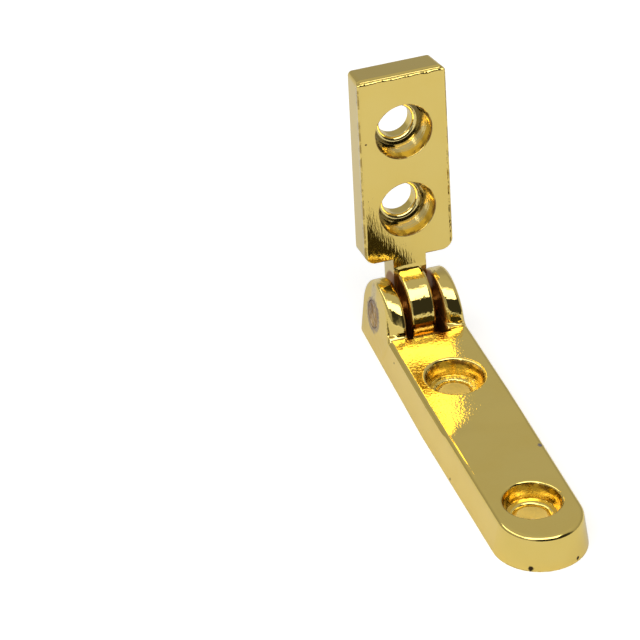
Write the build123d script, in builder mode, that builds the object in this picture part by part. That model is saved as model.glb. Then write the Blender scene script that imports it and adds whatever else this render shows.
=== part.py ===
# Small spring stop hinge for a box lid: a round-ended long leaf with two ears,
# a rectangular short leaf with a knuckle, a riveted pin and a bent leaf spring.
# Millimetres. The origin is on the underside, midway between the long leaf's screws.
# The pin runs along Y, +X runs to the round end. The short leaf is drawn open.
import os
from math import cos, pi, radians, sin, sqrt
from build123d import *

os.makedirs("parts", exist_ok=True)

# Long leaf, tapered by its casting draft
bar_height = 3.06
bar_half_bottom = 4.0
bar_half_crown = 3.09
heel_half_bottom = 3.55
heel_half_crown = 3.14
top_edge_round = 0.42

# Pin and swing
pin_to_pattern = 19.11
pin_lift = 0.09
pin_radius = 1.2
pin_running_clearance = 0.03
pin_edge = 0.07
open_angle = 97.5
stop_clearance = 0.02
pin_x = -pin_to_pattern
axis_z = bar_height + pin_lift

# Knuckle, almost down to the underside
foot_clearance = 0.03
knuckle_radius = axis_z - foot_clearance
crest_rise = 0.33
crest_radius = knuckle_radius + crest_rise

# Lengths along the long leaf, from the pin
flare_reach = 13.2
round_reach = 29.72
slot_gap = 1.05
ledge_length = 2.17
flare_x = pin_x + flare_reach
round_x = pin_x + round_reach
slot_front_x = pin_x + knuckle_radius + slot_gap
ledge_x = slot_front_x - ledge_length

# Ears, cast in one with the long leaf
ear_over_knuckle = 0.04
ear_forward = 0.47
ear_raise = -0.07
ear_foot_round = 0.35
ear_edge_round = 0.4
heel_round = 0.6
slot_half = 1.7
slot_edge_round = 0.12
crown_margin = 0.1
ear_radius = knuckle_radius + ear_over_knuckle
ear_x = pin_x + ear_forward
ear_z = axis_z + ear_raise
heel_x = ear_x - ear_radius
crown_z = ear_z + ear_radius + crown_margin

# Short leaf: block and neck
leaf_gap = 0.05
leaf_inner = pin_lift - leaf_gap
block_near = 4.64
block_far = 21.66
block_half_inner = 3.86
block_half_outer = 3.61
block_far_draft = 0.32
near_corner_inner = 1.0
near_corner_outer = 0.45
far_corner_inner = 0.5
far_corner_outer = 0.4
leaf_outer_round = 0.36
block_inner_round = 0.12
neck_half_inner = 1.43
neck_half_outer = 1.14
neck_root = 1.0
nose_half = 1.13
nose_edge_round = 0.4

# Counterbored screw holes, cast with draft
screw_hole_radius = 1.43
bar_hole_spacing = 17.82
bar_holes = (-bar_hole_spacing / 2, bar_hole_spacing / 2)
bar_mouth_radius = 2.46
bar_mouth_lip = 0.25
bar_bore_depth = 1.44
bar_bore_taper = 15.0
block_hole_near = 9.12
block_hole_far = 16.36
block_holes = (block_hole_near, block_hole_far)
block_mouth_radius = 2.46
block_mouth_lip = 0.07
block_bore_depth = 1.82
block_bore_taper = 12.0
step_round = 0.35
exit_lip = 0.1

# Open stop: a shoulder in the slot each side of the nose
shoulder_side_clearance = 0.08
shoulder_half = nose_half + shoulder_side_clearance
shoulder_drop = 1.65
shoulder_length = 1.1

# Leaf spring and the flat on the nose that it rests on
cam_angle = -50.0
cam_depth = 0.56
spring_clearance = 0.02
spring_thickness = 0.25
spring_side_clearance = 0.06
spring_width = 2 * (shoulder_half - spring_side_clearance)
spring_bend = 0.3
ledge_top = 0.5
spring_apex_drop = 0.53
spring_tip_reach = 2.9
cam_distance = knuckle_radius - cam_depth
spring_apex_z = axis_z - spring_apex_drop

along = (cos(radians(open_angle)), 0, sin(radians(open_angle)))
outward = (-along[2], 0, along[0])
pin_middle = (pin_x, 0, axis_z)
leaf_side = Plane(origin=pin_middle, x_dir=along, z_dir=(0, -1, 0))
leaf_depth = Axis(pin_middle, outward)
pin_plane = Plane(origin=pin_middle, x_dir=(1, 0, 0), z_dir=(0, -1, 0))
pin_line = Axis(pin_middle, (0, 1, 0))


def leaf_plane(height):
    """Plane parallel to the short leaf, at a height above the pin axis on its outer side."""
    origin = (pin_x + height * outward[0], 0, axis_z + height * outward[2])
    return Plane(origin=origin, x_dir=along, z_dir=outward)


def plan_outline(half_end, half_heel):
    """Outline of the long leaf from above, from its square heel to its round end."""
    with BuildLine() as edge:
        Polyline((round_x, half_end), (flare_x, half_end), (heel_x, half_heel),
                 (heel_x, -half_heel), (flare_x, -half_end), (round_x, -half_end))
        ThreePointArc((round_x, -half_end), (round_x + half_end, 0), (round_x, half_end))
    return edge.line


def rounded_block(half, far, near_round, far_round):
    """Outline of the short leaf's block in its own plane, its four corners rounded."""
    with BuildSketch() as outline:
        with Locations((block_near, 0)):
            Rectangle(far - block_near, 2 * half, align=(Align.MIN, Align.CENTER))
        fillet(outline.vertices().group_by(Axis.X)[0], near_round)
        fillet(outline.vertices().group_by(Axis.X)[-1], far_round)
    return outline.sketch


# Where the ear's arc meets its small concave foot on the bar
foot_rise = bar_height + ear_foot_round - ear_z
foot_x = ear_x + sqrt((ear_radius + ear_foot_round) ** 2 - foot_rise ** 2)
foot_share = ear_radius / (ear_radius + ear_foot_round)
foot_touch = (ear_x + foot_share * (foot_x - ear_x), ear_z + foot_share * foot_rise)
foot_middle = (foot_x - ear_foot_round * sin(pi / 4), bar_height + ear_foot_round * (1 - cos(pi / 4)))
past_end = round_x + 2 * bar_half_bottom

with BuildPart() as long_leaf:
    # drafted blank, from the foot outline up to the height of the ears
    with BuildSketch():
        add(plan_outline(bar_half_bottom, heel_half_bottom))
        make_face()
    with BuildSketch(Plane.XY.offset(crown_z)):
        add(plan_outline(bar_half_crown, heel_half_crown))
        make_face()
    loft(ruled=True)
    # side profile: bar, ear arc and the foot in front of the ear
    with BuildSketch(Plane.XZ):
        with BuildLine():
            Polyline((foot_x, bar_height), (past_end, bar_height), (past_end, 0), (heel_x, 0), (heel_x, ear_z))
            ThreePointArc((heel_x, ear_z), (ear_x, ear_z + ear_radius), foot_touch)
            ThreePointArc(foot_touch, foot_middle, (foot_x, bar_height))
        make_face()
    extrude(amount=2 * bar_half_bottom, both=True, mode=Mode.INTERSECT)
    # slot for the knuckle, open above, behind and below
    with BuildSketch(Plane.XZ):
        with Locations((slot_front_x, -axis_z)):
            Rectangle(2 * crown_z, 2 * crown_z, align=(Align.MAX, Align.MIN))
    extrude(amount=slot_half, both=True, mode=Mode.SUBTRACT)
    # rounded rims: outside of ears and bar, inside of the ears, mouth of the slot
    upper = long_leaf.edges().filter_by(lambda e: e.bounding_box().min.Z > bar_height - 0.01)
    outer_rim = upper.filter_by(lambda e: abs(e.center().Y) > slot_half + 0.5 or e.center().X > round_x)
    outer_rim = outer_rim.filter_by(Axis.Y, reverse=True)
    fillet(outer_rim, top_edge_round)
    upper = long_leaf.edges().filter_by(lambda e: e.bounding_box().min.Z > bar_height - 0.01)
    inner_rim = upper.filter_by(lambda e: abs(abs(e.center().Y) - slot_half) < 0.001)
    fillet(inner_rim.filter_by(GeomType.CIRCLE), ear_edge_round)
    slot_mouth = long_leaf.edges().filter_by(Axis.Y).filter_by_position(Axis.X, slot_front_x - 0.01, slot_front_x + 0.01)
    fillet(slot_mouth.sort_by(Axis.Z)[-1], slot_edge_round)
    # rounded lower corner of the heel
    with BuildSketch(Plane.XZ):
        with Locations((heel_x, 0)):
            Rectangle(2 * heel_round, 2 * heel_round)
        with Locations((heel_x + heel_round, heel_round)):
            Circle(heel_round, mode=Mode.SUBTRACT)
            Rectangle(heel_round, 3 * heel_round, align=(Align.MIN, Align.CENTER), mode=Mode.SUBTRACT)
            Rectangle(3 * heel_round, heel_round, align=(Align.CENTER, Align.MIN), mode=Mode.SUBTRACT)
    extrude(amount=2 * bar_half_bottom, both=True, mode=Mode.SUBTRACT)
    # ledge under the spring
    with Locations(((ledge_x + slot_front_x) / 2, 0, ledge_top / 2)):
        Box(slot_front_x - ledge_x, 2 * slot_half, ledge_top)
    # stop shoulders, their rear faces parallel to the open short leaf
    for side in (-1, 1):
        with BuildSketch(leaf_side.offset(-side * shoulder_half)):
            with Locations((-shoulder_drop, -leaf_inner - stop_clearance)):
                Rectangle(axis_z, shoulder_length, align=(Align.MAX, Align.MAX))
        extrude(amount=-side * (slot_half - shoulder_half))
    with BuildSketch():
        Rectangle(4 * past_end, 4 * bar_half_bottom)
    extrude(amount=-axis_z, mode=Mode.SUBTRACT)
    # pin bores
    with BuildSketch(pin_plane):
        Circle(pin_radius)
    extrude(amount=2 * bar_half_bottom, both=True, mode=Mode.SUBTRACT)
    # counterbored screw holes with a rounded lip
    with BuildSketch(Plane.XY.offset(bar_height)):
        with Locations(*[(x, 0) for x in bar_holes]):
            Circle(bar_mouth_radius)
    extrude(amount=-bar_bore_depth, taper=bar_bore_taper, mode=Mode.SUBTRACT)
    bore_mouths = long_leaf.edges().filter_by(GeomType.CIRCLE).filter_by_position(Axis.Z, bar_height - 0.01, bar_height + 0.01)
    fillet(bore_mouths.filter_by(lambda e: e.radius < bar_mouth_radius + 0.01), bar_mouth_lip)
    with Locations(*[(x, 0, 0) for x in bar_holes]):
        Cylinder(screw_hole_radius, 2 * bar_height, mode=Mode.SUBTRACT)
    steps = long_leaf.edges().filter_by(GeomType.CIRCLE).filter_by(lambda e: abs(e.radius - screw_hole_radius) < 0.001)
    fillet(steps.group_by(Axis.Z)[-1], step_round)
long_leaf.part.label = "long_leaf"
export_step(long_leaf.part, "parts/long_leaf.step")

# Short leaf
with BuildPart() as short_leaf:
    # drafted neck and the back half of the knuckle
    with BuildSketch(leaf_plane(-leaf_inner)):
        with Locations((-knuckle_radius, 0)):
            Rectangle(knuckle_radius + block_near + neck_root, 2 * neck_half_inner, align=(Align.MIN, Align.CENTER))
    with BuildSketch(leaf_plane(knuckle_radius)):
        with Locations((-knuckle_radius, 0)):
            Rectangle(knuckle_radius + block_near + neck_root, 2 * neck_half_outer, align=(Align.MIN, Align.CENTER))
    loft(ruled=True)
    with BuildSketch(leaf_side):
        Circle(knuckle_radius)
        Rectangle(block_near + neck_root, knuckle_radius, align=Align.MIN)
        with Locations((0, -leaf_inner)):
            Rectangle(block_near + neck_root, leaf_inner, align=Align.MIN)
    extrude(amount=2 * neck_half_inner, both=True, mode=Mode.INTERSECT)
    # drafted block, its corners rounded
    with BuildSketch(leaf_plane(-leaf_inner)):
        add(rounded_block(block_half_inner, block_far, near_corner_inner, far_corner_inner))
    with BuildSketch(leaf_plane(knuckle_radius)):
        add(rounded_block(block_half_outer, block_far - block_far_draft, near_corner_outer, far_corner_outer))
    loft(ruled=True)
    # rounded rims
    outer_face = short_leaf.faces().filter_by(leaf_plane(0)).sort_by(leaf_depth)[-1]
    fillet(outer_face.edges().filter_by(lambda e: e.center().Z > axis_z + knuckle_radius), leaf_outer_round)
    inner_face = short_leaf.faces().filter_by(leaf_plane(0)).sort_by(leaf_depth)[0]
    block_rim = inner_face.edges().filter_by(lambda e: e.center().Z > axis_z + block_near * along[2] - 0.01)
    fillet(block_rim, block_inner_round)
    # nose: the front half of the knuckle, narrower than the neck, rising to a crest at the neck
    with BuildSketch(leaf_side):
        with BuildLine():
            EllipticalCenterArc((0, 0), crest_radius, knuckle_radius, start_angle=270, arc_size=90)
            CenterArc((0, 0), knuckle_radius, start_angle=180, arc_size=90)
            Line((-knuckle_radius, 0), (crest_radius, 0))
        make_face()
    extrude(amount=nose_half, both=True)
    nose_rim = short_leaf.edges().filter_by(lambda e: abs(abs(e.center().Y) - nose_half) < 0.001)
    nose_rim = nose_rim.filter_by(GeomType.LINE, reverse=True)
    fillet(nose_rim, nose_edge_round)
    # flat on the nose for the spring
    with BuildSketch(leaf_side):
        with PolarLocations(cam_distance, 1, start_angle=cam_angle - open_angle):
            Rectangle(knuckle_radius, 4 * knuckle_radius, align=(Align.MIN, Align.CENTER))
        with Locations((0, -leaf_inner)):
            Rectangle(4 * knuckle_radius, 2 * knuckle_radius, align=(Align.CENTER, Align.MIN), mode=Mode.SUBTRACT)
    extrude(amount=2 * nose_half, both=True, mode=Mode.SUBTRACT)
    # pin bore
    with BuildSketch(leaf_side):
        Circle(pin_radius + pin_running_clearance)
    extrude(amount=2 * nose_half, both=True, mode=Mode.SUBTRACT)
    # counterbored screw holes
    hole_spots = [(u, 0) for u in block_holes]
    with BuildSketch(leaf_plane(-leaf_inner)):
        with Locations(*hole_spots):
            Circle(block_mouth_radius)
    extrude(amount=block_bore_depth, taper=block_bore_taper, mode=Mode.SUBTRACT)
    with BuildSketch(leaf_plane(-leaf_inner)):
        with Locations(*hole_spots):
            Circle(screw_hole_radius)
    extrude(amount=2 * knuckle_radius, mode=Mode.SUBTRACT)
    rings = short_leaf.edges().filter_by(GeomType.CIRCLE)
    fillet(rings.filter_by(lambda e: abs(e.radius - block_mouth_radius) < 0.01), block_mouth_lip)
    hole_rims = rings.filter_by(lambda e: abs(e.radius - screw_hole_radius) < 0.01).group_by(leaf_depth)
    fillet(hole_rims[-1], exit_lip)
    fillet(hole_rims[0], step_round)
short_leaf.part.label = "short_leaf"
export_step(short_leaf.part, "parts/short_leaf.step")

# Pin, riveted and ground flush with the drafted ears
with BuildPart() as hinge_pin:
    with BuildSketch():
        add(plan_outline(bar_half_bottom, heel_half_bottom))
        make_face()
    with BuildSketch(Plane.XY.offset(crown_z)):
        add(plan_outline(bar_half_crown, heel_half_crown))
        make_face()
    loft(ruled=True)
    with BuildSketch(pin_plane):
        Circle(pin_radius)
    extrude(amount=2 * bar_half_bottom, both=True, mode=Mode.INTERSECT)
    chamfer(hinge_pin.edges().filter_by(lambda e: abs(e.center().Y) > slot_half), pin_edge)
hinge_pin.part.label = "hinge_pin"
export_step(hinge_pin.part, "parts/hinge_pin.step")

# Leaf spring: one leg on the front wall of the slot, the other along the flat of the nose
flat_down = (cos(radians(cam_angle - 90)), sin(radians(cam_angle - 90)))
flat_middle = (pin_x + (cam_distance + spring_clearance) * cos(radians(cam_angle)),
               axis_z + (cam_distance + spring_clearance) * sin(radians(cam_angle)))
apex_run = (flat_middle[1] - spring_apex_z) / flat_down[1]
apex = (flat_middle[0] - apex_run * flat_down[0], spring_apex_z)
tip = (apex[0] + spring_tip_reach * flat_down[0], apex[1] + spring_tip_reach * flat_down[1])
wall_x = slot_front_x - spring_clearance
with BuildPart() as leaf_spring:
    with BuildLine(Plane.XZ.offset(spring_width / 2)):
        FilletPolyline(tip, apex, (wall_x, spring_apex_z), (wall_x, ledge_top + spring_clearance), radius=spring_bend)
    make_brake_formed(spring_thickness, spring_width, side=Side.RIGHT)
leaf_spring.part.label = "leaf_spring"
export_step(leaf_spring.part, "parts/leaf_spring.step")
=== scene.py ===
# Spring stop hinge for a box lid, gold plated: looks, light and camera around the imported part.
import bpy
import bmesh
import numpy as np
from mathutils import Euler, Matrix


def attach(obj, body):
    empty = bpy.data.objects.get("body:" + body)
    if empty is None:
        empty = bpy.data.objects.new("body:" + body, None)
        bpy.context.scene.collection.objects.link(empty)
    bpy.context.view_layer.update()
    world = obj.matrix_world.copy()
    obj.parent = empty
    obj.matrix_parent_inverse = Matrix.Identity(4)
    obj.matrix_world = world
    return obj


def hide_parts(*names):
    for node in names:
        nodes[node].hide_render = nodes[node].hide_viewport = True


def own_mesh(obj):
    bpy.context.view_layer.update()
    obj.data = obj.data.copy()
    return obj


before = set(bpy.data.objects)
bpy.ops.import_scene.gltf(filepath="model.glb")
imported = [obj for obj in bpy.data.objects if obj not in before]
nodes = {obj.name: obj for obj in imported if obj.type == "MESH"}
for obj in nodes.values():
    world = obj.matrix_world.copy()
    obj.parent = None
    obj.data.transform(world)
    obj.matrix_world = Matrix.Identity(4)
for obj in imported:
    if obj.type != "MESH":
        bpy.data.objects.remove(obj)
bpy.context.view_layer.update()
scene = bpy.context.scene
print("frame loaded:", sorted(nodes))

perMetre = 1000.0  # the materials work in millimetres


class Wire:
    # one socket of a node tree; the usual operators on it add Math nodes
    def __init__(self, tree, socket):
        self.tree, self.socket = tree, socket

    def node(self, kind, settings=None, out=0, **links):
        # a node of any type: settings first, then values or links by socket name, s0 or s1 by number
        made = self.tree.nodes.new(kind)
        for name, value in (settings or {}).items():
            setattr(made, name, value)
        for name, value in links.items():
            number = name[1:]
            byNumber = name[0] == "s" and number.isdigit()
            socket = made.inputs[int(number) if byNumber else name.replace("_", " ")]
            if isinstance(value, Wire):
                self.tree.links.new(value.socket, socket)
            else:
                socket.default_value = value
        return Wire(self.tree, made.outputs[out])

    def math(self, operation, *others):
        values = {f"s{i}": value for i, value in enumerate((self, *others))}
        return self.node("ShaderNodeMath", {"operation": operation}, **values)

    def vector(self, operation, *others, out=0):
        # the result is at output 0 where it is a vector, and at output 1 where it is a number
        values = {f"s{i}": value for i, value in enumerate((self, *others))}
        return self.node("ShaderNodeVectorMath", {"operation": operation}, out, **values)

    def __add__(self, other): return self.math("ADD", other)
    def __radd__(self, other): return self.math("ADD", other)
    def __mul__(self, other): return self.math("MULTIPLY", other)
    def __rmul__(self, other): return self.math("MULTIPLY", other)
    def __sub__(self, other): return self.math("SUBTRACT", other)
    def __abs__(self): return self.math("ABSOLUTE")

    def __rsub__(self, other):
        return self.node("ShaderNodeMath", {"operation": "SUBTRACT"}, s0=other, s1=self)

    def dot(self, way):
        # how far a place lies along a direction
        return self.vector("DOT_PRODUCT", way, out=1)

    def axis(self, number):
        # one coordinate of a vector, 0 for x, 1 for y, 2 for z
        return self.node("ShaderNodeSeparateXYZ", None, number, Vector=self)

    def step(self, low, high):
        # 0 below low, 1 above high, smooth between
        return self.node("ShaderNodeMapRange", {"interpolation_type": "SMOOTHSTEP"},
                         Value=self, From_Min=low, From_Max=high, To_Min=0.0, To_Max=1.0)

    def near(self, middle, widths):
        # 1 closer to the middle than the first width, 0 beyond the second
        return 1 - abs(self - middle).step(*widths)


def mixColours(share, first, second):
    # first where share is 0, second where it is 1
    first, second = (value if isinstance(value, Wire) else (*value, 1) for value in (first, second))
    return share.node("ShaderNodeMix", {"data_type": "RGBA"}, 2, s0=share, s6=first, s7=second)


def mixNumbers(share, first, second):
    return share.node("ShaderNodeMix", {"data_type": "FLOAT"}, 0, s0=share, s2=first, s3=second)


def noise(place, scale, detail=2.0, roughness=0.5):
    return place.node("ShaderNodeTexNoise", None, Vector=place, Scale=scale, Detail=detail,
                      Roughness=roughness)


def wobble(place, scale, detail=2.0):
    # noise to either side of 0
    return noise(place, scale, detail) - 0.5


def fromLine(place, point, along):
    # distance from the line through a point
    return place.vector("SUBTRACT", point).vector("CROSS_PRODUCT", along).vector("LENGTH", out=1)


# Gold plate on a polished die casting. Lengths in materials are in millimetres, a scale is
# in patches per millimetre, and a pair of numbers is the two ends of a soft edge.
gold = {"colour": (0.96, 0.735, 0.215), "deep": (0.95, 0.715, 0.195),
        "cloudSize": 4.0, "cloudSteps": (0.35, 0.7),
        "roughness": 0.045, "haze": 0.06, "hazeSize": 1.1, "hazeSteps": (0.5, 0.8),
        "waveSize": 1.6, "waveHeight": 0.014,
        "grainSize": 0.20, "grainHeight": 0.004, "grainStretch": (1.0, 1.0, 1.0), "grainTurn": 0.0,
        "edgeWidth": 0.18, "edgeSamples": 4, "edgeSteps": (0.02, 0.25),
        "wornEdgeAndHighlightColour": (1.0, 0.90, 0.62), "edgeRoughness": 0.16, "edgeSpots": (0.40, 0.55),
        "grime": (0.30, 0.17, 0.04), "grimeSize": 0.4, "grimeSpots": (0.53, 0.60)}


def startMaterial(name):
    # an empty node material, its Principled shader, and a wire with the place in millimetres
    material = bpy.data.materials.new(name)
    material.use_nodes = True
    tree = material.node_tree
    spot = Wire(tree, tree.nodes.new("ShaderNodeTexCoord").outputs["Object"])
    return material, tree.nodes["Principled BSDF"], spot.vector("MULTIPLY", (perMetre,) * 3)


def plating(place, look):
    # colour, roughness and height of plain plating, with paler edges, partly wear and partly painted
    # highlight, and brown dirt in them
    cloud = noise(place, 1 / look["cloudSize"], detail=3.0).step(*look["cloudSteps"])
    haze = noise(place, 1 / look["hazeSize"], detail=4.0, roughness=0.6).step(*look["hazeSteps"])
    wave = noise(place, 1 / look["waveSize"], detail=1.0)
    lay = place.node("ShaderNodeMapping", None, Vector=place, Scale=look["grainStretch"],
                     Rotation=(0.0, look["grainTurn"], 0.0))
    grain = noise(lay, 1 / look["grainSize"])
    rounded = place.node("ShaderNodeBevel", {"samples": look["edgeSamples"]},
                         Radius=look["edgeWidth"] / perMetre)
    normal = place.node("ShaderNodeNewGeometry", None, 1)
    edge = (1 - rounded.dot(normal)).step(*look["edgeSteps"])
    spots = noise(place, 1 / look["grimeSize"], detail=3.0)
    grime = edge * spots.step(*look["grimeSpots"])
    edge = edge * (1 - spots.step(*look["edgeSpots"]))
    # the pale edges are partly wear and partly a painted highlight along the rims
    colour = mixColours(edge, mixColours(cloud, look["colour"], look["deep"]), look["wornEdgeAndHighlightColour"])
    colour = mixColours(grime, colour, look["grime"])
    roughness = look["roughness"] + haze * look["haze"] + edge * look["edgeRoughness"]
    height = wave * look["waveHeight"] + grain * look["grainHeight"]
    return {"colour": colour, "roughness": roughness, "height": height}


def dull(coat, share, colour, roughness):
    # another colour and roughness over the plating, where share is 1: real wear and flaws, and painted
    # shade
    coat["colour"] = mixColours(share, coat["colour"], colour)
    coat["roughness"] = mixNumbers(share, coat["roughness"], roughness)


holes = {"mouth": (2.25, 2.35), "stepDepth": -20.32, "reach": (0.35, 0.5),
         "ringSize": 0.13, "ringHeight": 0.010, "colour": (0.95, 0.82, 0.44), "tint": 0.4, "haze": 0.05,
         "step": 1.66, "stepWidths": (0.17, 0.34),
         "lumpSize": 0.35, "lumpHeight": 0.020, "lumpEnd": (100.0, 101.0),
         # the dark patches in the inner corner of the step are painted shade
         "corner": 1.93, "cornerWidths": (0.114, 0.19), "cornerShade": 0.85, "cornerShadeColour": (0.10, 0.075, 0.03),
         "cornerShadeRoughness": 0.12, "cornerShadeScale": 0.7, "cornerShadeSteps": (0.36, 0.46),
         # the dark line round the mouth is painted shade
         "line": 2.45, "lineWidths": (0.03, 0.10), "lineShare": 0.85, "lineColour": (0.20, 0.10, 0.03),
         "lineRoughness": 0.3, "lineScale": 1.4, "lineSteps": (0.42, 0.6)}


def screwHoles(coat, place, spots, out, look):
    # holes at the spots, with turning rings down their walls, lumps on the step and painted shade
    #     # in its inner corner, and painted shade as a dark line round the mouth; out is the way out of
    #     their mouths
    radius = fromLine(place, spots[0], out)
    for spot in spots[1:]:
        radius = radius.math("MINIMUM", fromLine(place, spot, out))
    depth = place.dot(out)
    full, end = look["reach"]
    mouthSide = depth.step(look["stepDepth"] - end, look["stepDepth"] - full)
    inside = mouthSide * (1 - radius.step(*look["mouth"]))
    rings = depth.node("ShaderNodeTexNoise", {"noise_dimensions": "1D"}, W=depth,
                       Scale=1 / look["ringSize"], Detail=2.0)
    atStep = depth.near(look["stepDepth"], look["reach"])
    onStep = atStep * radius.near(look["step"], look["stepWidths"])
    onStep = onStep * (1 - place.axis(0).step(*look["lumpEnd"]))
    lumps = noise(place, 1 / look["lumpSize"], detail=1.0)
    coat["height"] = coat["height"] + inside * rings * look["ringHeight"]
    coat["height"] = coat["height"] + onStep * lumps * look["lumpHeight"]
    coat["roughness"] = coat["roughness"] + inside * look["haze"]
    coat["colour"] = mixColours(inside * look["tint"], coat["colour"], look["colour"])
    # painted shade: dark patches in the inner corner of the step
    cornerShade = atStep * radius.near(look["corner"], look["cornerWidths"])
    cornerShade = cornerShade * noise(place, look["cornerShadeScale"]).step(*look["cornerShadeSteps"]) * look["cornerShade"]
    dull(coat, cornerShade, look["cornerShadeColour"], look["cornerShadeRoughness"])
    # painted shade: a dark line round the mouth, in patches
    line = mouthSide * radius.near(look["line"], look["lineWidths"])
    line = line * noise(place, look["lineScale"]).step(*look["lineSteps"]) * look["lineShare"]
    dull(coat, line, look["lineColour"], look["lineRoughness"])


knuckle = {"middle": (-19.11, 0.0, 3.15), "pinLine": (0.0, 1.0, 0.0), "reach": (3.6, 4.0),
           "dentSize": 0.9, "dentHeight": 0.04, "pitSize": 0.22, "pitHeight": 0.007}


def dents(coat, place, look):
    # the round ends of the castings were polished by hand and wave a little
    near = 1 - fromLine(place, look["middle"], look["pinLine"]).step(*look["reach"])
    uneven = noise(place, 1 / look["dentSize"]) * look["dentHeight"]
    uneven = uneven + noise(place, 1 / look["pitSize"], detail=1.0) * look["pitHeight"]
    coat["height"] = coat["height"] + near * uneven


ears = {"middle": 2.6, "inner": (1.6, 1.7), "outer": (3.2, 3.4), "foot": (3.1, 3.4),
        "back": (-1.0, 0.5), "front": (4.0, 4.4),
        "twist": -0.19, "rightLess": 0.08, "right": (-0.1, 0.1)}


def twistedEars(coat, place, look):
    # the fronts of the ears turn a little towards the left from their inner to their outer side
    x, y, z = (place.axis(i) for i in range(3))
    ahead = x - knuckle["middle"][0]
    acrossEar = y - y.math("SIGN") * look["middle"]
    upEar = (z - knuckle["middle"][2]) - ahead
    onEar = abs(y).step(*look["inner"]) * (1 - abs(y).step(*look["outer"])) * z.step(*look["foot"])
    onEar = onEar * ahead.step(*look["back"]) * (1 - ahead.step(*look["front"]))
    twist = y.step(*look["right"]) * look["rightLess"] + look["twist"]
    coat["height"] = coat["height"] + onEar * acrossEar * upEar * twist


sink = {"tilt": 0.03, "twist": 0.0012, "start": (-15.5, -15.0), "end": (-4.0, -1.0), "top": (2.7, 2.9),
        "grainSize": 0.22, "grainHeight": 0.014}


def sunkTop(coat, place, look):
    # the top of the bar sank a little to one side near the ears as the casting cooled
    x = place.axis(0)
    near = x.step(*look["start"]) * (1 - x.step(*look["end"])) * place.axis(2).step(*look["top"])
    grain = noise(place, 1 / look["grainSize"]) * look["grainHeight"]
    tilt = (x - look["start"][1]) * look["twist"] + look["tilt"]
    coat["height"] = coat["height"] + near * (place.axis(1) * tilt + grain)


pinEnds = {"middle": (-19.11, 0.0, 3.05), "outside": (2.6, 2.9),
           "ring": 1.26, "ringWidths": (0.08, 0.40), "ragged": 0.7, "raggedScale": 4.0,
           "patchScale": 5.0, "patchSteps": (0.25, 0.6), "patchShare": 0.45, "leastShare": 0.5,
           "colour": (0.36, 0.27, 0.20), "roughness": 0.32}


def wornRing(coat, place, look):
    # plating rubbed off round the pin's ends, on the ears' outer faces
    radius = fromLine(place, look["middle"], knuckle["pinLine"])
    ragged = wobble(place, look["raggedScale"], detail=3.0) * look["ragged"]
    ragged = abs(radius - look["ring"]) + ragged
    patches = noise(place, look["patchScale"]).step(*look["patchSteps"]) * look["patchShare"]
    ring = (1 - ragged.step(*look["ringWidths"])) * (patches + look["leastShare"])
    dull(coat, ring * abs(place.axis(1)).step(*look["outside"]), look["colour"], look["roughness"])


pits = {"full": 0.5, "raggedScale": 4.0, "roughness": 0.5}


def flaws(coat, place, spots, colour, look=pits):
    # small pits where the plating failed, each given by its place and size
    for x, y, z, size in spots:
        ragged = wobble(place, look["raggedScale"], detail=3.0) * size
        ragged = place.vector("DISTANCE", (x, y, z), out=1) + ragged
        dull(coat, 1 - ragged.step(size * look["full"], size), colour, look["roughness"])


def finish(material, shader, coat):
    # wires colour, roughness and height into the shader
    bump = coat["height"].node("ShaderNodeBump", None, Height=coat["height"], Distance=1 / perMetre,
                               Strength=1.0)
    wires = {"Base Color": coat["colour"], "Roughness": coat["roughness"], "Normal": bump}
    for socket, wire in wires.items():
        wire.tree.links.new(wire.socket, shader.inputs[socket])
    shader.inputs["Metallic"].default_value = 1.0
    return material


def dress(node, material):
    # a CAD node in its finish
    piece = nodes[node]
    piece.data.materials.clear()
    piece.data.materials.append(material)


longLeaf = {"holes": [(-8.91, 0.0, 3.0), (8.91, 0.0, 3.0)], "out": (0.0, 0.0, 1.0),
            "bores": {"stepDepth": 1.62, "ringHeight": 0.002, "tint": 0.0, "haze": 0.10,
                      "lumpSize": 0.25, "lumpHeight": 0.08, "lumpEnd": (0.0, 1.0), "cornerShade": 0.0,
                      "line": 2.36, "lineWidths": (0.024, 0.08)},
            # dark brown painted shade in the slot between the ears
            "slotSides": (1.72, 1.92), "slotEnd": (-14.9, -14.8),
            "slotShadeColour": (0.44, 0.21, 0.05), "slotShadeRoughness": 0.42,
            "pits": [(14.02, -2.01, 0.24, 0.30), (14.0, 2.04, 0.28, 0.2),
                     (0.64, -3.96, 0.28, 0.14), (-13.59, -3.58, 2.01, 0.12)],
            "pitColour": (0.06, 0.04, 0.02),
            "nick": [(2.27, 3.21, 3.06, 0.28)], "nickColour": (0.34, 0.30, 0.28)}


def longLeafGold(look):
    material, shader, place = startMaterial("long_leaf_gold")
    coat = plating(place, gold)
    dents(coat, place, knuckle)
    twistedEars(coat, place, ears)
    sunkTop(coat, place, sink)
    screwHoles(coat, place, look["holes"], look["out"], {**holes, **look["bores"]})
    wornRing(coat, place, pinEnds)
    # painted shade in the slot between the ears
    shadeInSlot = 1 - abs(place.axis(1)).step(*look["slotSides"])
    shadeInSlot = shadeInSlot * (1 - place.axis(0).step(*look["slotEnd"]))
    dull(coat, shadeInSlot, look["slotShadeColour"], look["slotShadeRoughness"])
    flaws(coat, place, look["pits"], look["pitColour"])
    flaws(coat, place, look["nick"], look["nickColour"])
    return finish(material, shader, coat)


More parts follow.
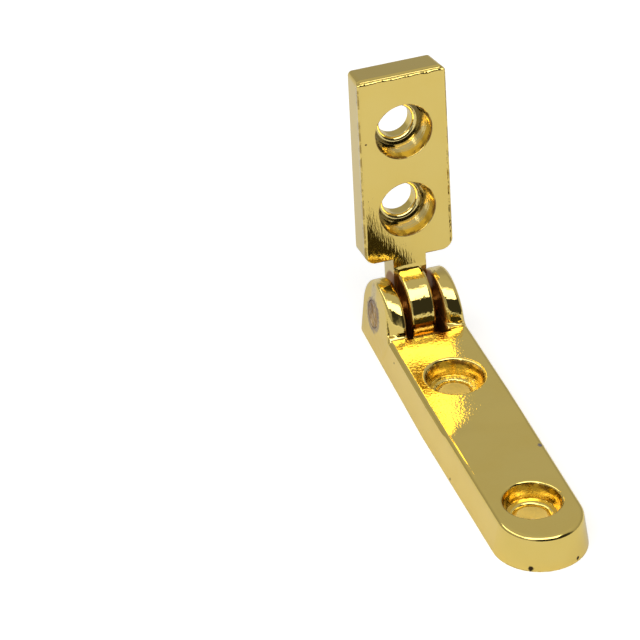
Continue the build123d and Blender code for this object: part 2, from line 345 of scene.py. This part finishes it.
shortLeaf = {"along": (-0.130526, 0.0, 0.991445), "across": (-0.991445, 0.0, -0.130526),
             "holes": (9.12, 16.36), "cheek": (1.0, 1.12), "cheekReach": (3.1, 3.4),
             # dark brown painted shade on the knuckle's sides, in the gaps by the ears
             "cheekShadeColour": (0.44, 0.21, 0.05), "cheekShadeRoughness": 0.42,
             "pits": [(-21.14, -3.31, 18.88, 0.12)], "pitColour": (0.25, 0.18, 0.08),
             "layEnd": (20.9, 21.2),
             "lay": {"grainStretch": (1.0, 1.0, 0.14), "grainTurn": -0.1309, "grainSize": 0.13,
                     "grainHeight": 0.0050},
             "rim": {"far": (21.25, 21.55), "side": (3.55, 3.75), "front": (0.1, 0.5),
                     "bumpSize": 0.5, "bumpHeight": 0.05, "roll": 2.6, "rollMost": 0.30,
                     "waveSize": 0.9, "wave": 0.22, "line": 3.79, "lineWidths": (0.032, 0.08),
                     "lineScale": 0.8, "lineSteps": (0.44, 0.52), "lineShare": 0.65,
                     "lineColour": (0.25, 0.14, 0.04), "lineRoughness": 0.3}}


def blockRim(coat, place, far, depth, look):
    # lumps and a wavy roll along the sharp rim of the block's front face, left by the die,
    # and a dark line down its sides
    side = abs(place.axis(1))
    atRim = far.step(*look["far"]).math("MAXIMUM", side.step(*look["side"]))
    onFront = 1 - depth.step(*look["front"])
    lumps = noise(place, 1 / look["bumpSize"]) * look["bumpHeight"]
    coat["height"] = coat["height"] + atRim * onFront * lumps
    past = far + wobble(place, 1 / look["waveSize"]) * look["wave"] - look["far"][0]
    past = past.math("MAXIMUM", 0.0).math("MINIMUM", look["rollMost"])
    coat["height"] = coat["height"] - onFront * past * past * look["roll"]
    line = onFront * side.near(look["line"], look["lineWidths"])
    patches = noise(place, look["lineScale"], detail=3.0).step(*look["lineSteps"])
    line = line * patches * look["lineShare"]
    dull(coat, line, look["lineColour"], look["lineRoughness"])


def shortLeafGold(look):
    material, shader, place = startMaterial("short_leaf_gold")
    middle = knuckle["middle"]
    fromPin = place.vector("SUBTRACT", middle)
    far, depth = fromPin.dot(look["along"]), fromPin.dot(look["across"])
    below = 1 - far.step(*look["layEnd"])
    coat = plating(place, {**gold, **look["lay"], "grainHeight": below * look["lay"]["grainHeight"]})
    dents(coat, place, knuckle)
    blockRim(coat, place, far, depth, look["rim"])
    spots = [tuple(m + u * a for m, a in zip(middle, look["along"])) for u in look["holes"]]
    screwHoles(coat, place, spots, tuple(-a for a in look["across"]), holes)
    # painted shade on the knuckle's sides, in the gaps next to the ears
    cheek = abs(place.axis(1)).step(*look["cheek"])
    cheek = cheek * (1 - fromLine(place, middle, knuckle["pinLine"]).step(*look["cheekReach"]))
    dull(coat, cheek, look["cheekShadeColour"], look["cheekShadeRoughness"])
    flaws(coat, place, look["pits"], look["pitColour"])
    return finish(material, shader, coat)


hingePin = {"colour": (0.74, 0.48, 0.13), "deep": (0.36, 0.20, 0.04), "cloudSize": 0.6,
            "roughness": 0.10, "waveSize": 0.40, "waveHeight": 0.12,
            "shade": (0.28, 0.15, 0.03), "shadeBehind": (-0.4, 0.2), "shadeAbove": (-0.4, 0.1)}


def hingePinGold(look):
    # beaten ends, shaded towards the back of their upper part
    material, shader, place = startMaterial("hinge_pin_gold")
    coat = plating(place, {**gold, **look})
    fromPin = place.vector("SUBTRACT", knuckle["middle"])
    behind = 1 - fromPin.axis(0).step(*look["shadeBehind"])
    shade = behind * fromPin.axis(2).step(*look["shadeAbove"])
    dull(coat, shade, look["shade"], look["roughness"])
    wornRing(coat, place, pinEnds)
    return finish(material, shader, coat)


leafSpring = {"colour": (0.92, 0.69, 0.29), "dark": (0.66, 0.42, 0.15), "roughness": 0.18,
              "lineSize": 0.6, "lineStretch": (1.0, 12.0, 1.0), "lineSteps": (0.3, 0.7),
              "lineHeight": 0.002, "lineRoughness": 0.15}


def springBronze(look):
    # rolled strip with fine lines along its length
    material, shader, place = startMaterial("spring_bronze")
    stretched = place.node("ShaderNodeMapping", None, Vector=place, Scale=look["lineStretch"])
    lines = noise(stretched, 1 / look["lineSize"], detail=3.0)
    coat = {"colour": mixColours(lines.step(*look["lineSteps"]), look["dark"], look["colour"]),
            "roughness": look["roughness"] + lines * look["lineRoughness"],
            "height": lines * look["lineHeight"]}
    return finish(material, shader, coat)


bending = {"piece": "bent_strip", "joint": "lid_swing", "wall": (-0.01496, 0.0, 0.0), "keep": 0.56,
           "joinWithin": 1e-7, "sharpFrom": 30.0}  # metres, and degrees for sharpFrom


def bendingSpring(look, material):
    # the same strip, its triangles joined and shaded smooth with sharp creases,
    #     # as a new piece on the base body in place of the imported one
    strip = bmesh.new()
    strip.from_mesh(nodes["leaf_spring"].data)
    bmesh.ops.remove_doubles(strip, verts=strip.verts, dist=look["joinWithin"])
    mesh = bpy.data.meshes.new(look["piece"])
    strip.to_mesh(mesh)
    strip.free()
    mesh.attributes.remove(mesh.attributes["custom_normal"])  # of the loose triangles
    mesh.shade_smooth()
    mesh.set_sharp_from_angle(angle=float(np.radians(look["sharpFrom"])))
    mesh.materials.append(material)
    piece = bpy.data.objects.new(look["piece"], mesh)
    scene.collection.objects.link(piece)
    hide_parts("leaf_spring")
    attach(piece, "base")
    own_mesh(piece)


dress("long_leaf", longLeafGold(longLeaf))
dress("short_leaf", shortLeafGold(shortLeaf))
dress("hinge_pin", hingePinGold(hingePin))
bendingSpring(bending, springBronze(leafSpring))
print("metal finishes made")

# Table, in metres: matt white with the hinge's shadow, brighter to the camera
table = {"halfSize": 3.0, "below": 0.00002, "colour": (0.76, 0.76, 0.76), "glowToCamera": 0.51,
         "glowToMetal": 0.04}


def makeTable(look):
    # flat grid: x = u, y = v, z just under the part
    ends = (-look["halfSize"], look["halfSize"])
    u, v = np.meshgrid(ends, ends)
    points = np.stack([u, v, np.full_like(u, -look["below"])], -1).reshape(-1, 3)
    mesh = bpy.data.meshes.new("table")
    mesh.from_pydata(points.tolist(), [], [(0, 1, 3, 2)])
    piece = bpy.data.objects.new("table", mesh)
    scene.collection.objects.link(piece)
    material = bpy.data.materials.new("table_white")
    material.use_nodes = True
    tree = material.node_tree
    tree.nodes.clear()
    ray = tree.nodes.new("ShaderNodeLightPath").outputs
    camera, glossy, through = (Wire(tree, ray[f"Is {kind} Ray"])
                               for kind in ("Camera", "Glossy", "Transmission"))
    strength = camera.math("MAXIMUM", through) * look["glowToCamera"] + glossy * look["glowToMetal"]
    matte = strength.node("ShaderNodeBsdfDiffuse", None, Color=(*look["colour"], 1))
    glow = strength.node("ShaderNodeEmission", None, Color=(1, 1, 1, 1), Strength=strength)
    both = strength.node("ShaderNodeAddShader", None, s0=matte, s1=glow)
    out = tree.nodes.new("ShaderNodeOutputMaterial")
    tree.links.new(both.socket, out.inputs["Surface"])
    mesh.materials.append(material)


makeTable(table)

# Room: white to the camera, and in the metal a dim far wall, a dark front and a paler ceiling
room = {"frontWay": (0.951, 0.309, 0.0), "frontSteps": (0.55, 0.8), "front": 0.04,
        "back": 0.44, "backHigh": 0.56, "backSteps": (0.35, 0.65),
        "horizon": 0.7, "horizonSteps": (0.0, 0.05), "top": 0.6, "topSteps": (0.72, 0.8)}


def makeRoom(look):
    world = bpy.data.worlds.new("room")
    world.use_nodes = True
    scene.world = world
    tree = world.node_tree
    tree.nodes.clear()
    way = Wire(tree, tree.nodes.new("ShaderNodeTexCoord").outputs["Generated"])
    z = way.axis(2)
    flat = way.vector("MULTIPLY", (1.0, 1.0, 0.0)).vector("NORMALIZE")
    front = flat.dot(look["frontWay"]).step(*look["frontSteps"])
    back = mixNumbers(z.step(*look["backSteps"]), look["back"], look["backHigh"])
    walls = mixNumbers(front, back, look["front"])
    level = mixNumbers(z.step(*look["horizonSteps"]), look["horizon"], walls)
    level = mixNumbers(z.step(*look["topSteps"]), level, look["top"])
    camera = Wire(tree, tree.nodes.new("ShaderNodeLightPath").outputs["Is Camera Ray"])
    background = camera.node("ShaderNodeBackground", None, Strength=camera.math("MAXIMUM", level))
    out = tree.nodes.new("ShaderNodeOutputWorld")
    tree.links.new(background.socket, out.inputs["Surface"])


makeRoom(room)

# Lamps, in metres: a softbox overhead, towards the camera, a narrow one behind it, one to the left
lamps = {"softbox": {"place": (0.225, -0.10, 0.36), "size": (0.23, 0.60), "watts": 1.10},
         "spill": {"place": (0.09, -0.10, 0.36), "size": (0.04, 0.60), "watts": 0.08},
         "side": {"place": (-0.13, -0.35, 0.36), "size": (0.50, 0.20), "watts": 0.55}}


def makeLamp(name, look):
    light = bpy.data.lights.new(name, "AREA")
    light.shape = "RECTANGLE"
    light.size, light.size_y = look["size"]
    light.energy = look["watts"]
    lamp = bpy.data.objects.new(name, light)
    lamp.location = look["place"]
    scene.collection.objects.link(lamp)


for name, look in lamps.items():
    makeLamp(name, look)
print("table, room and lamps set")

# Camera where the photographer stood: place in metres, turn in degrees, lens in millimetres
viewpoint = {"place": (0.627103, -0.241853, 0.50794), "turn": (53.730938, 0.004002, 70.106766),
             "lens": 581.7163, "sensor": 36.0, "nearest": 0.01, "farthest": 20.0}


def makeCamera(look):
    camera = bpy.data.objects.new("camera", bpy.data.cameras.new("camera"))
    camera.data.lens, camera.data.sensor_width = look["lens"], look["sensor"]
    camera.data.clip_start, camera.data.clip_end = look["nearest"], look["farthest"]
    camera.location = look["place"]
    camera.rotation_euler = Euler(np.radians(look["turn"]).tolist(), "XYZ")
    scene.collection.objects.link(camera)
    scene.camera = camera


makeCamera(viewpoint)
scene.view_settings.view_transform = "Standard"
print("camera set")
